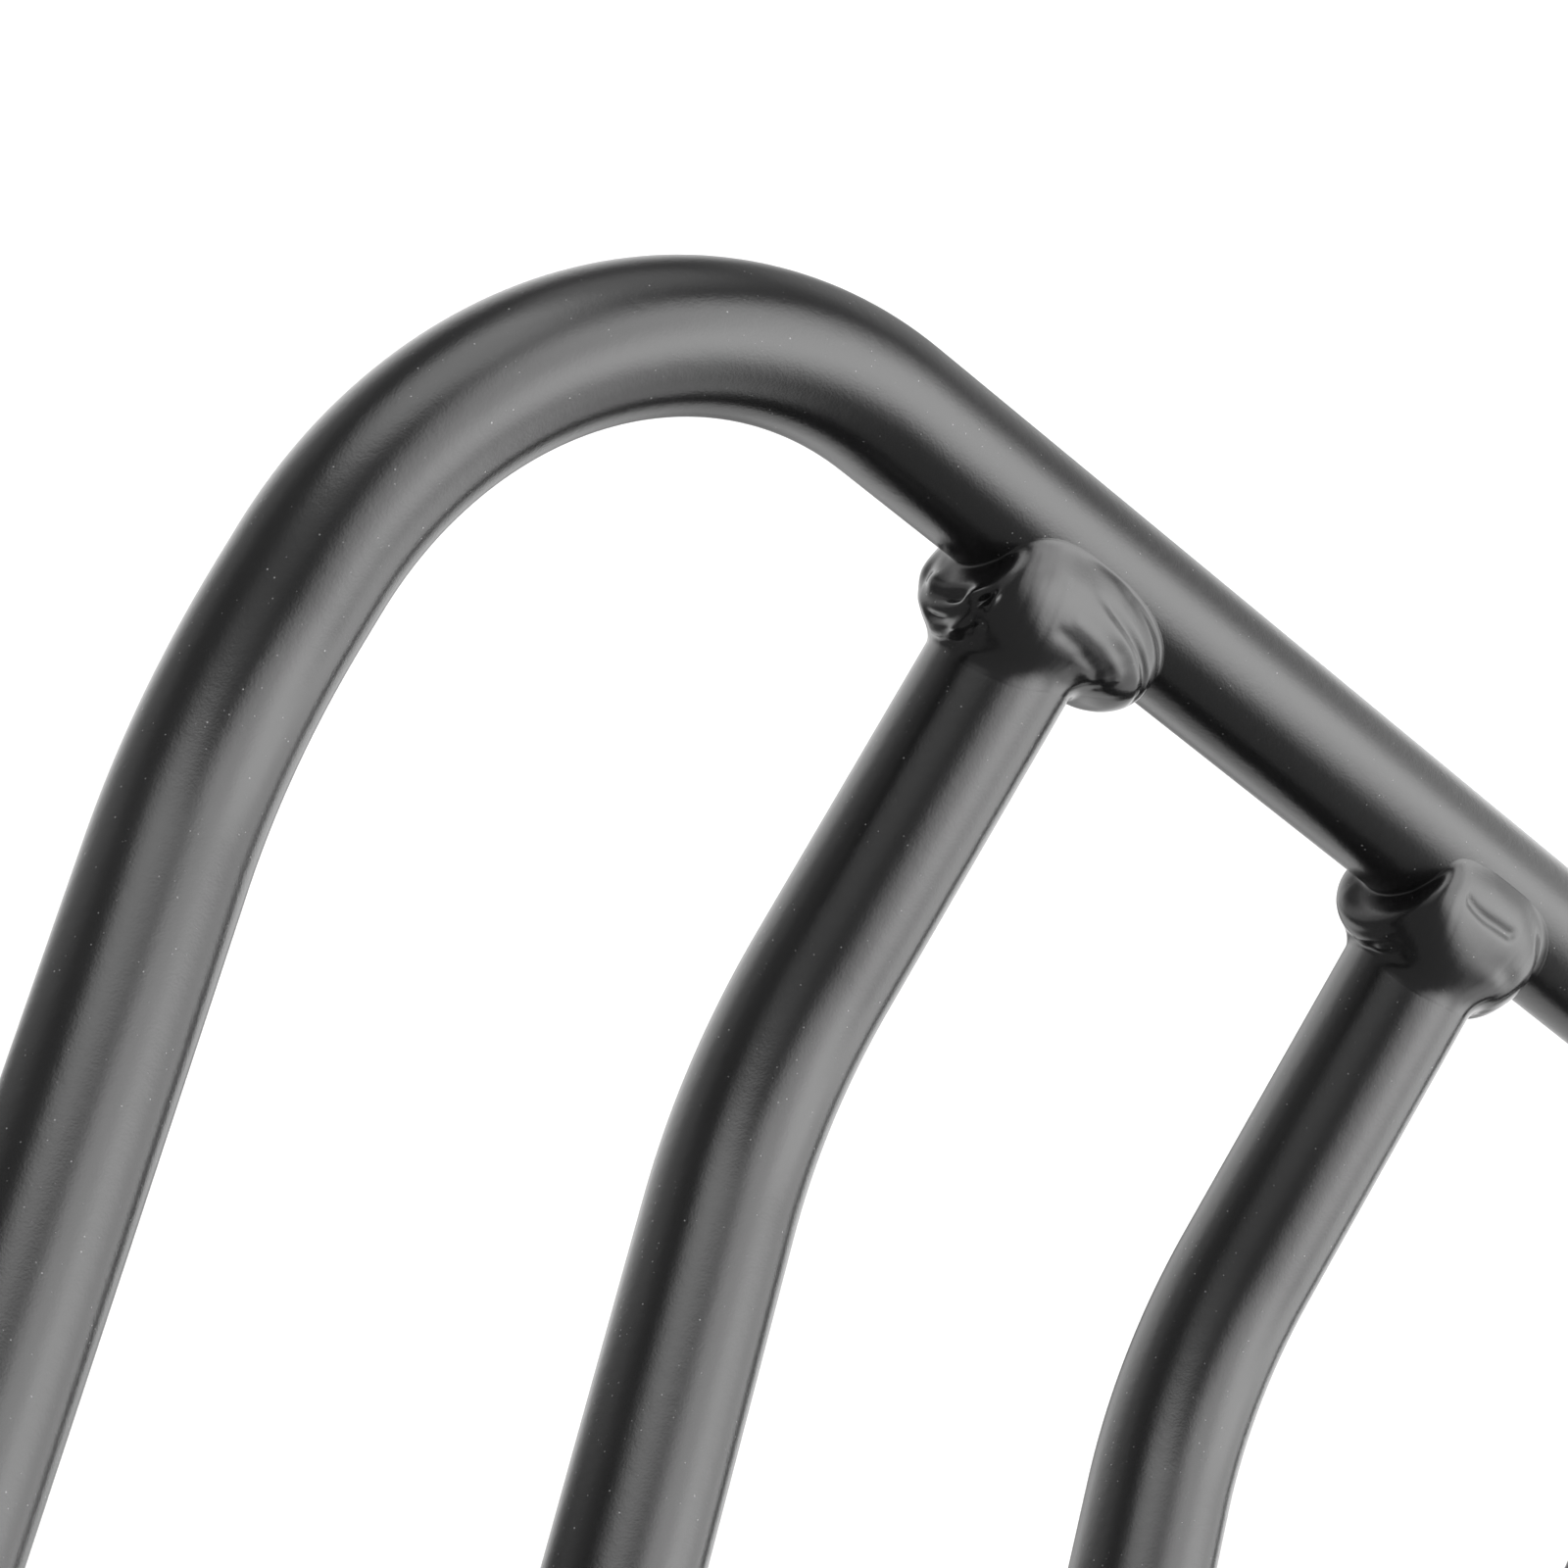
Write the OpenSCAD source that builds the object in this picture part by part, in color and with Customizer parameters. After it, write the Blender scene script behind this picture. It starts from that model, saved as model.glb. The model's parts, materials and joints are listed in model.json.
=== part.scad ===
// Folding luggage rack for a scooter or motorcycle tail: a welded tube platform on a hinge,
// over a bolted-on base frame. Millimetres. X runs across the rack, -Y is the rear with the
// turned-up lip, +Z is up. The origin lies midway between the two upper mounting holes, on
// the underside of the tabs. The platform is drawn lying flat on its rubber buffers.

/* [Platform] */
// Outside diameter of every platform tube
tube_d = 12;             // [8:0.1:20]
// Wall of every platform tube
tube_wall = 1.5;         // [0.8:0.1:3]
// Distance between the two middle bars
middle_pitch = 61;       // [35:0.5:80]
// Distance from a middle bar to the outer bar beside it
bar_pitch = 54.5;        // [35:0.5:80]
// Distance from a side leg to its nearest bar
side_pitch = 57.5;       // [35:0.5:80]
// Hinge axis to the point where the lip turns up
deck_length = 165;       // [120:1:260]
// Length of the lip along its slope, up to the rear rail's axis
lip_length = 49.5;       // [42:0.5:90]
// Angle at which the lip turns up
lip_angle = 23.7;        // [5:0.1:40]
// Centre-line radius of the lip bend
lip_bend_r = 51.6;       // [25:0.1:80]
// Centre-line radius of the two rear corners
corner_r = 35.8;         // [18:0.1:36]

/* [Hinge] */
// Outside diameter of the hinge barrel
barrel_d = 16;           // [14:0.5:24]
// Wall of the hinge barrel
barrel_wall = 1.5;       // [1:0.1:2.5]
// How far the barrel runs past each leg's axis
barrel_past_leg = 8.75;  // [8:0.25:20]
// Height of the hinge axis above the base tubes' axes
hinge_rise = 26;         // [22:0.5:45]
// Diameter of the pivot rod
pivot_d = 8;             // [6:0.5:10]
// Thickness of each hinge ear
ear_t = 5;               // [3:0.5:8]
// Width of each hinge ear
ear_w = 20;              // [18:0.5:32]
// Flange thickness of the hinge bushes
bush_flange_t = 1.5;     // [1:0.1:3]
// Length of each bush inside the barrel
bush_length = 20;        // [8:1:40]
// Fold angle at which the stop lugs meet the cross tube
fold_max = 100;          // [80:1:110]
// Thickness of each stop lug
lug_t = 5;               // [3:0.5:8]
// Width of each stop lug
lug_w = 10;              // [6:0.5:14]
// How far each stop lug's tip runs past the line where it meets the cross tube
lug_past = 3.5;          // [2:0.5:6]

/* [Base] */
// Outside diameter of the base tubes
base_d = 16;             // [12:0.5:22]
// Wall of the base tubes
base_wall = 1.5;         // [1:0.1:3]
// Distance from the hinge axis back to the base loop's rear tube
base_reach = 120;        // [90:1:150]
// Centre-line radius of the base loop's corners
base_corner_r = 32;      // [20:1:45]
// Distance between the two mounting holes
bolt_spacing = 140;      // [110:1:180]
// Radius of each mounting hole
bolt_hole_r = 4.25;      // [3:0.05:6]
// Distance from the mounting holes back to the hinge axis
hinge_back = 70;         // [60:1:110]
// Thickness of the mounting tabs
tab_t = 5;               // [3:0.5:8]
// Width of the mounting tabs
tab_w = 26;              // [20:1:40]
// Length of each tab under its tube
tab_overlap = 40;        // [25:1:44]
// Free length between a mounting hole and its tube's end
tab_free = 16;           // [13:0.5:25]

/* [Lower stays] */
// Outside diameter of the stays
stay_d = 12;             // [10:0.5:16]
// Wall of the stays
stay_wall = 1.5;         // [1:0.1:2.5]
// Distance from the hinge axis back to where a stay meets the base loop
stay_start = 70;         // [50:1:75]
// Horizontal run of the sloping part of a stay
stay_run = 110;          // [80:1:120]
// Slope of a stay below horizontal
stay_slope = 45;         // [30:1:60]
// Centre-line radius of a stay's bend
stay_bend_r = 36;        // [20:1:50]
// Height of the upper mounting face above the lower mounting holes
lower_drop = 162;        // [155:1:220]
// Thickness of the lower tabs
low_tab_t = 5;           // [3:0.5:8]
// Length of each lower tab along its stay
low_tab_overlap = 26;    // [15:1:30]
// Free length between a lower hole and its stay's end
low_tab_free = 14;       // [13:0.5:25]

/* [Fittings] */
// Across-flats width of the pivot nuts
nut_af = 13;             // [10:0.5:17]
// Height of the pivot nuts' hexagon
nut_h = 6.5;             // [4:0.5:8]
// Height of the nuts' locking collar
nut_collar_h = 1.5;      // [1:0.1:3]
// Diameter of the pivot washers
washer_d = 16;           // [12:0.5:24]
// Thickness of the pivot washers
washer_t = 1.6;          // [1:0.1:3]
// Length of rod left showing outside each nut
rod_end = 1.5;           // [0.5:0.1:5]
// Diameter of the rubber buffers
buffer_d = 14;           // [12:0.5:20]
// Shank diameter of the buffer screws
screw_d = 4;             // [3:0.5:5]
// Head diameter of the buffer screws
screw_head_d = 7.5;      // [6:0.5:9]
// Head height of the buffer screws
screw_head_h = 2.4;      // [1.5:0.1:3]
// Depth of the well that sinks each screw head in its buffer
screw_well = 5;          // [3.5:0.5:7]
// Thickness of the end plugs' caps
plug_cap_t = 2;          // [1:0.1:4]
// Length of each end plug inside its tube
plug_in = 10;            // [5:1:12]

/* [Weld beads] */
// How far a bead spreads over the tube it lands on
bead_spread = 3.4;       // [1.5:0.1:4]
// How far a bead climbs the tube that ends in it
bead_climb = 5;          // [3:0.1:6]
// Radius of the straight beads along the tabs
tab_bead_r = 2.4;        // [1.5:0.1:3]
// Radius of the beads at the root of each stop lug
lug_bead_r = 1.8;        // [1:0.1:2.5]
// Width of the bead round each hinge ear joint
ear_bead = 1.9;          // [1:0.1:2]

/* [Hidden] */
$fn = 72;
gap = 0.3;
run_gap = 0.05;
slip_gap = 0.1;
bend_lap = 0.5;
bend_swell = 0.02;
cut = 1;
hex_sides = 6;
tube_r = tube_d / 2;
tube_bore = tube_r - tube_wall;
base_r = base_d / 2;
base_bore = base_r - base_wall;
stay_r = stay_d / 2;
stay_bore = stay_r - stay_wall;
barrel_r = barrel_d / 2;
barrel_bore = barrel_r - barrel_wall;
pivot_r = pivot_d / 2;
bar_in_x = middle_pitch / 2;
bar_out_x = bar_in_x + bar_pitch;
leg_x = bar_out_x + side_pitch;
arm_x = bolt_spacing / 2;
base_z = tab_t + base_r;
hinge_y = -hinge_back;
hinge_z = base_z + hinge_rise;
bend_tan = lip_bend_r * tan(lip_angle / 2);
deck_run = deck_length - bend_tan;
lip_run = lip_length - bend_tan;
corner_lead = lip_run - corner_r;
rail_run = 2 * (leg_x - corner_r);
vertex_y = hinge_y - deck_length;
rail_y = vertex_y - lip_length * cos(lip_angle);
rail_z = hinge_z + lip_length * sin(lip_angle);
tip_short = tube_r / 3;
barrel_half = leg_x + barrel_past_leg;
ear_in_x = barrel_half + bush_flange_t + gap;
ear_out_x = ear_in_x + ear_t;
ear_r = ear_w / 2;
washer_out_x = ear_out_x + washer_t;
nut_out_x = washer_out_x + nut_h;
collar_out_x = nut_out_x + nut_collar_h;
rod_half = collar_out_x + rod_end;
nut_collar_r = nut_af / 2 - 0.8;
lug_x = (bar_in_x + arm_x) / 2;
lug_sweep = asin((base_r + lug_w / 2 + gap) / hinge_rise);
lug_angle = 270 - lug_sweep - fold_max;
lug_tip = hinge_rise * cos(lug_sweep) + lug_past;
base_rear_y = hinge_y - base_reach;
base_tip_short = base_r / 3;
buffer_r = buffer_d / 2;
buffer_top = hinge_z - tube_r - gap;
screw_r = screw_d / 2;
screw_head_r = screw_head_d / 2;
screw_head_z = buffer_top - screw_well;
well_r = screw_head_r + 0.3;
arm_end_y = -tab_free;
tab_r = tab_w / 2;
stay_tan = stay_bend_r * tan((90 - stay_slope) / 2);
stay_slant = stay_run / cos(stay_slope);
stay_y = hinge_y - stay_start + stay_run;
stay_z = base_z - stay_run * tan(stay_slope);
low_hole_z = -lower_drop;
stay_end_z = low_hole_z + low_tab_free;
stay_drop = stay_z - stay_end_z;
low_tab_y = stay_y + stay_r;
tab_bead_x = base_r * 0.66;
low_bead_x = stay_r * 0.72;
low_bead_r = tab_bead_r * 0.85;

paint = [0.11, 0.11, 0.12];
bead_paint = [0.14, 0.14, 0.15];
zinc = [0.72, 0.73, 0.74];
rubber_black = [0.06, 0.06, 0.06];
nylon = [0.16, 0.16, 0.17];

// A tube path is drawn by steps: each step starts where the last one ended, heading local +Z.
// A straight that follows a bend may lap back into it, a hair thicker, as a drawn tube is there.
module run(len, r, bore, lap = 0) {
  swell = lap > 0 ? bend_swell : 0;
  inner = max(bore - swell, 0);
  translate([0, 0, -lap])
    rotate_extrude()
      translate([inner, 0])
        square([r + swell - inner, len + lap]);
  translate([0, 0, len])
    children();
}

// Bends the path towards local +X.
module turn(bend_r, angle, r, bore) {
  translate([bend_r, 0, 0])
    rotate([90, 0, 180])
      rotate_extrude(angle = angle)
        translate([bend_r, 0])
          difference() {
            circle(r = r);
            if (bore > 0) circle(r = bore);
          }
  translate([bend_r, 0, 0])
    rotate([0, angle, 0])
      translate([-bend_r, 0, 0])
        children();
}

module roll(angle) {
  rotate([0, 0, angle])
    children();
}

// Heads rearwards (-Y), with local +X pointing up.
module rearwards(x, y, z) {
  translate([x, y, z])
    rotate([90, 0, 0])
      rotate([0, 0, 90])
        children();
}

module along_x(half, r) {
  rotate([0, 90, 0])
    cylinder(h = 2 * half, r = r, center = true);
}

module side(s) {
  scale([s, 1, 1])
    children();
}

module barrel_solid() {
  translate([0, hinge_y, hinge_z])
    along_x(barrel_half, barrel_r);
}

module cross_solid() {
  translate([0, hinge_y, base_z])
    along_x(ear_in_x, base_r);
}

module rail_solid() {
  translate([0, rail_y, rail_z])
    along_x(rail_run / 2, tube_r);
}

// Ring of weld round a tube that ends on a crossing tube. Local +Z runs out along the tube
// that ends, from the crossing tube's axis.
module weld_ring(end_r, cross_r, spread, climb) {
  rotate_extrude()
    polygon([
      [end_r - cut, 0.5],
      [end_r + spread * 0.2, 0.5],
      [end_r + spread * 0.66, cross_r * 0.42],
      [end_r + spread, cross_r * 0.9],
      [end_r + spread * 0.86, cross_r + climb * 0.35],
      [end_r + 0.3, cross_r + climb],
      [end_r - cut, cross_r + climb]
    ]);
}

module platform_path(r, bore) {
  rearwards(leg_x, hinge_y, hinge_z)
    run(deck_run, r, bore)
    turn(lip_bend_r, lip_angle, r, bore)
    run(corner_lead, r, bore, bend_lap)
    roll(90)
    turn(corner_r, 90, r, bore)
    run(rail_run, r, bore)
    turn(corner_r, 90, r, bore)
    run(corner_lead, r, bore)
    roll(-90)
    turn(lip_bend_r, lip_angle, r, bore)
    run(deck_run, r, bore, bend_lap);
}

module platform_loop() {
  color(paint)
    difference() {
      platform_path(tube_r, tube_bore);
      barrel_solid();
    }
}

module bar_path(x, r, bore) {
  rearwards(x, hinge_y, hinge_z)
    run(deck_run, r, bore)
    turn(lip_bend_r, lip_angle, r, bore)
    run(lip_run - tip_short, r, bore, bend_lap);
}

module platform_bar(x) {
  color(paint)
    difference() {
      bar_path(x, tube_r, tube_bore);
      barrel_solid();
      rail_solid();
    }
}

module platform_bar_1() {
  platform_bar(-bar_out_x);
}

module platform_bar_2() {
  platform_bar(-bar_in_x);
}

module platform_bar_3() {
  platform_bar(bar_in_x);
}

module platform_bar_4() {
  platform_bar(bar_out_x);
}

module rail_weld(x) {
  difference() {
    translate([x, rail_y, rail_z])
      rotate([-90 - lip_angle, 0, 0])
        weld_ring(tube_r, tube_r, bead_spread, bead_climb);
    rail_solid();
    bar_path(x, tube_r, 0);
  }
}

module barrel_weld(x) {
  difference() {
    rearwards(x, hinge_y, hinge_z)
      weld_ring(tube_r, barrel_r, min(bead_spread, barrel_past_leg - tube_r - gap), bead_climb);
    barrel_solid();
    rearwards(x, hinge_y, hinge_z)
      cylinder(h = deck_run, r = tube_r + bend_swell);
  }
}

module lug_frame(s) {
  side(s)
    translate([lug_x, hinge_y, hinge_z])
      rotate([-lug_angle, 0, 0])
        children();
}

module lug_plate() {
  difference() {
    union() {
      translate([-lug_t / 2, -lug_tip + lug_w / 2, -lug_w / 2])
        cube([lug_t, lug_tip - lug_w / 2 - barrel_r / 2, lug_w]);
      translate([0, -lug_tip + lug_w / 2, 0])
        along_x(lug_t / 2, lug_w / 2);
    }
    along_x(lug_t, barrel_r);
  }
}

module lug_beads() {
  difference() {
    for (e = [-1, 1])
      translate([e * (lug_t + lug_bead_r) / 2, -barrel_r, 0])
        cylinder(h = lug_w - lug_bead_r / 2, r = lug_bead_r, center = true);
    along_x(lug_t * 2, barrel_r);
    translate([-lug_t / 2, -lug_tip, -lug_w])
      cube([lug_t, lug_tip, 2 * lug_w]);
  }
}

module platform_welds() {
  color(bead_paint) {
    for (x = [-bar_out_x, -bar_in_x, bar_in_x, bar_out_x]) rail_weld(x);
    for (x = [-leg_x, -bar_out_x, -bar_in_x, bar_in_x, bar_out_x, leg_x]) barrel_weld(x);
    for (s = [-1, 1]) lug_frame(s) lug_beads();
  }
}

module hinge_barrel() {
  color(paint)
    translate([-barrel_half, hinge_y, hinge_z])
      rotate([0, 90, 0])
        run(2 * barrel_half, barrel_r, barrel_bore);
}

module hinge_bush(s) {
  color(nylon)
    side(s)
      translate([barrel_half + bush_flange_t, hinge_y, hinge_z])
        rotate([0, -90, 0])
          rotate_extrude()
            polygon([
              [pivot_r + run_gap, 0],
              [barrel_r, 0],
              [barrel_r, bush_flange_t],
              [barrel_bore, bush_flange_t],
              [barrel_bore, bush_flange_t + bush_length],
              [pivot_r + run_gap, bush_flange_t + bush_length]
            ]);
}

module hinge_bush_left() {
  hinge_bush(-1);
}

module hinge_bush_right() {
  hinge_bush(1);
}

module stop_lug_left() {
  color(paint)
    lug_frame(-1)
      lug_plate();
}

module stop_lug_right() {
  color(paint)
    lug_frame(1)
      lug_plate();
}

module base_cross_tube() {
  color(paint)
    translate([-ear_in_x, hinge_y, base_z])
      rotate([0, 90, 0])
        run(2 * ear_in_x, base_r, base_bore);
}

module base_loop_path(r, bore) {
  rearwards(arm_x, hinge_y - base_tip_short, base_z)
    run(base_reach - base_corner_r - base_tip_short, r, bore)
    roll(90)
    turn(base_corner_r, 90, r, bore)
    run(2 * (arm_x - base_corner_r), r, bore)
    turn(base_corner_r, 90, r, bore)
    run(base_reach - base_corner_r - base_tip_short, r, bore);
}

module loop_arm_solid(s) {
  translate([s * arm_x, hinge_y, base_z])
    rotate([90, 0, 0])
      cylinder(h = base_reach - base_corner_r, r = base_r);
}

module screw_bores() {
  for (s = [-1, 1])
    translate([s * bar_in_x, base_rear_y, base_z])
      cylinder(h = base_d, r = screw_r);
}

module base_loop() {
  color(paint)
    difference() {
      base_loop_path(base_r, base_bore);
      cross_solid();
      screw_bores();
    }
}

module hinge_ear(s) {
  color(paint)
    side(s)
      translate([ear_in_x, hinge_y, 0])
        difference() {
          union() {
            for (z = [base_z, hinge_z])
              translate([0, 0, z])
                rotate([0, 90, 0])
                  cylinder(h = ear_t, r = ear_r);
            translate([0, -ear_r, base_z])
              cube([ear_t, ear_w, hinge_rise]);
          }
          translate([0, 0, hinge_z])
            along_x(ear_t * 2, pivot_r + slip_gap);
        }
}

module hinge_ear_left() {
  hinge_ear(-1);
}

module hinge_ear_right() {
  hinge_ear(1);
}

module mount_arm(s) {
  color(paint)
    difference() {
      translate([s * arm_x, hinge_y + base_tip_short, base_z])
        rotate([-90, 0, 0])
          run(hinge_back - base_tip_short - tab_free, base_r, base_bore);
      cross_solid();
    }
}

module mount_arm_left() {
  mount_arm(-1);
}

module mount_arm_right() {
  mount_arm(1);
}

module mount_tab(s) {
  color(paint)
    side(s)
      translate([arm_x, 0, 0])
        difference() {
          union() {
            cylinder(h = tab_t, r = tab_r);
            translate([-tab_r, arm_end_y - tab_overlap, 0])
              cube([tab_w, tab_overlap + tab_free, tab_t]);
          }
          translate([0, 0, -cut])
            cylinder(h = tab_t + 2 * cut, r = bolt_hole_r);
        }
}

module mount_tab_left() {
  mount_tab(-1);
}

module mount_tab_right() {
  mount_tab(1);
}

module stay_path(x, r, bore) {
  translate([x, stay_y, stay_end_z])
    roll(-90)
    run(stay_drop - stay_tan, r, bore)
    turn(stay_bend_r, 90 - stay_slope, r, bore)
    run(stay_slant - stay_tan, r, bore, bend_lap);
}

module lower_stay(s) {
  color(paint)
    difference() {
      stay_path(s * arm_x, stay_r, stay_bore);
      loop_arm_solid(s);
    }
}

module lower_stay_left() {
  lower_stay(-1);
}

module lower_stay_right() {
  lower_stay(1);
}

module lower_tab(s) {
  color(paint)
    side(s)
      translate([arm_x, low_tab_y, low_hole_z])
        difference() {
          union() {
            rotate([-90, 0, 0])
              cylinder(h = low_tab_t, r = tab_r);
            translate([-tab_r, 0, 0])
              cube([tab_w, low_tab_t, low_tab_free + low_tab_overlap]);
          }
          translate([0, -cut, 0])
            rotate([-90, 0, 0])
              cylinder(h = low_tab_t + 2 * cut, r = bolt_hole_r);
        }
}

module lower_tab_left() {
  lower_tab(-1);
}

module lower_tab_right() {
  lower_tab(1);
}

// End plug, drawn with its cap outwards along local +Z.
module plug(outer_r, bore) {
  translate([0, 0, -plug_in])
    cylinder(h = plug_in, r = bore);
  cylinder(h = plug_cap_t, r = outer_r);
}

module arm_plugs() {
  color(nylon)
    for (s = [-1, 1])
      translate([s * arm_x, arm_end_y, base_z])
        rotate([-90, 0, 0])
          plug(base_r, base_bore);
}

module stay_plugs() {
  color(nylon)
    for (s = [-1, 1])
      translate([s * arm_x, stay_y, stay_end_z])
        rotate([180, 0, 0])
          plug(stay_r, stay_bore);
}

module pivot_rod() {
  color(zinc)
    translate([0, hinge_y, hinge_z])
      along_x(rod_half, pivot_r);
}

module pivot_nut(s) {
  side(s)
    translate([washer_out_x, hinge_y, hinge_z])
      rotate([0, 90, 0])
        difference() {
          union() {
            cylinder(h = nut_h, r = nut_af / 2 / cos(30), $fn = hex_sides);
            cylinder(h = nut_h + nut_collar_h, r = nut_collar_r);
          }
          translate([0, 0, -cut])
            cylinder(h = nut_h + nut_collar_h + 2 * cut, r = pivot_r);
        }
}

module pivot_nuts() {
  color(zinc)
    for (s = [-1, 1]) pivot_nut(s);
}

module pivot_washers() {
  color(zinc)
    for (s = [-1, 1])
      side(s)
        translate([ear_out_x, hinge_y, hinge_z])
          rotate([0, 90, 0])
            run(washer_t, washer_d / 2, pivot_r + slip_gap);
}

module rubber_buffer(s) {
  color(rubber_black)
    difference() {
      translate([s * bar_in_x, base_rear_y, base_z])
        cylinder(h = buffer_top - base_z, r = buffer_r);
      base_loop_path(base_r, 0);
      translate([s * bar_in_x, base_rear_y, base_z])
        cylinder(h = hinge_rise, r = screw_r + slip_gap);
      translate([s * bar_in_x, base_rear_y, screw_head_z])
        cylinder(h = hinge_rise, r = well_r);
    }
}

module rubber_buffer_left() {
  rubber_buffer(-1);
}

module rubber_buffer_right() {
  rubber_buffer(1);
}

module buffer_screws() {
  color(zinc)
    for (s = [-1, 1])
      translate([s * bar_in_x, base_rear_y, base_z]) {
        cylinder(h = screw_head_z - base_z, r = screw_r);
        translate([0, 0, screw_head_z - base_z])
          cylinder(h = screw_head_h, r = screw_head_r);
      }
}

module loop_joint_weld(s) {
  difference() {
    rearwards(s * arm_x, hinge_y, base_z)
      weld_ring(base_r, base_r, bead_spread, bead_climb);
    cross_solid();
    rearwards(s * arm_x, hinge_y, base_z)
      cylinder(h = hinge_back, r = base_r);
  }
}

module arm_joint_weld(s) {
  difference() {
    translate([s * arm_x, hinge_y, base_z])
      rotate([-90, 0, 0])
        weld_ring(base_r, base_r, bead_spread, bead_climb);
    cross_solid();
    translate([s * arm_x, hinge_y, base_z])
      rotate([-90, 0, 0])
        cylinder(h = hinge_back, r = base_r);
    translate([s * arm_x - tab_r, hinge_y, 0])
      cube([tab_w, hinge_back, tab_t + gap]);
  }
}

module ear_joint_weld(s) {
  side(s)
    translate([ear_in_x, hinge_y, base_z])
      rotate([0, -90, 0])
        rotate_extrude()
          polygon([
            [base_r, 0],
            [base_r + ear_bead, 0],
            [base_r + ear_bead * 0.7, ear_bead * 0.7],
            [base_r, ear_bead]
          ]);
}

module stay_joint_weld(s) {
  difference() {
    translate([s * arm_x, hinge_y - stay_start, base_z])
      rotate([-90 - stay_slope, 0, 0])
        rotate_extrude()
          polygon([
            [stay_r - cut, base_r * 0.6],
            [stay_r + bead_spread * 0.8, base_r * 0.6],
            [stay_r + bead_spread, base_r * 1.1],
            [stay_r + 0.3, base_r + bead_climb + stay_r * 0.7],
            [stay_r - cut, base_r + bead_climb + stay_r * 0.7]
          ]);
    loop_arm_solid(s);
    stay_path(s * arm_x, stay_r, 0);
  }
}

module tab_weld(s) {
  difference() {
    for (e = [-1, 1])
      translate([s * arm_x + e * tab_bead_x, arm_end_y - tab_overlap + tab_bead_r, tab_t + tab_bead_r / 2])
        rotate([-90, 0, 0])
          cylinder(h = tab_overlap - 2 * tab_bead_r, r = tab_bead_r);
    translate([s * arm_x, hinge_y, base_z])
      rotate([-90, 0, 0])
        cylinder(h = hinge_back, r = base_r);
    translate([s * arm_x - tab_w, hinge_y, 0])
      cube([2 * tab_w, hinge_back, tab_t]);
  }
}

module low_tab_weld(s) {
  difference() {
    for (e = [-1, 1])
      translate([s * arm_x + e * low_bead_x, low_tab_y - low_bead_r / 2, stay_end_z + low_bead_r])
        cylinder(h = low_tab_overlap - 2 * low_bead_r, r = low_bead_r);
    stay_path(s * arm_x, stay_r, 0);
    translate([s * arm_x - tab_w, low_tab_y, low_hole_z])
      cube([2 * tab_w, low_tab_t, low_tab_free + low_tab_overlap]);
  }
}

module base_welds() {
  color(bead_paint)
    for (s = [-1, 1]) {
      loop_joint_weld(s);
      arm_joint_weld(s);
      ear_joint_weld(s);
      stay_joint_weld(s);
      tab_weld(s);
      low_tab_weld(s);
    }
}

base_cross_tube();
base_loop();
hinge_ear_left();
hinge_ear_right();
mount_arm_left();
mount_arm_right();
mount_tab_left();
mount_tab_right();
lower_stay_left();
lower_stay_right();
lower_tab_left();
lower_tab_right();
arm_plugs();
stay_plugs();
pivot_rod();
pivot_nuts();
pivot_washers();
rubber_buffer_left();
rubber_buffer_right();
buffer_screws();
base_welds();
platform_loop();
platform_bar_1();
platform_bar_2();
platform_bar_3();
platform_bar_4();
hinge_barrel();
hinge_bush_left();
hinge_bush_right();
stop_lug_left();
stop_lug_right();
platform_welds();
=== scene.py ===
import json
import math

import bpy
import numpy as np
from mathutils import Matrix, Vector


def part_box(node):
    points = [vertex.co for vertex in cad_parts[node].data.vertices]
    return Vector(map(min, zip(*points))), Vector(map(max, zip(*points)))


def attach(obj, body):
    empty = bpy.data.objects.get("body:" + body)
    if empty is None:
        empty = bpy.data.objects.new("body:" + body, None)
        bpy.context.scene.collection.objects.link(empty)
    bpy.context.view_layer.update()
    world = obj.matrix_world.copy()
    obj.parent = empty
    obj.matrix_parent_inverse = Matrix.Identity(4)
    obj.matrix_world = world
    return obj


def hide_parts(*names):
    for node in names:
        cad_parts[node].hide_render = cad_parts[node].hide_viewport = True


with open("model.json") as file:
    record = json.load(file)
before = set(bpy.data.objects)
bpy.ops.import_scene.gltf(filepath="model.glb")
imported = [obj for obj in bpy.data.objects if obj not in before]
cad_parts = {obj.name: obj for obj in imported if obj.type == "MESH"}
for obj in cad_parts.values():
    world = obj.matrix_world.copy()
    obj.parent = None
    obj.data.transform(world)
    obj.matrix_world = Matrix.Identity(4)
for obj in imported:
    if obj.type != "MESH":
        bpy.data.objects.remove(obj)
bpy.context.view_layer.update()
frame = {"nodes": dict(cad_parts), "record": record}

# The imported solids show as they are, apart from three kinds of piece that are made here in finer form:
# the platform's outer loop, its bars and all weld beads.
MM = 0.001
TURN = 2 * math.pi
X = np.array([1.0, 0, 0])
Y = np.array([0, 1.0, 0])
Z = np.array([0, 0, 1.0])


# ---------------------------------------------------------------- sizes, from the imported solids
def span(node):
    """A node's lowest and highest corners."""
    low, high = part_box(node)
    return np.array(low), np.array(high)


def middle(node):
    low, high = span(node)
    return (low + high) / 2


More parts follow.
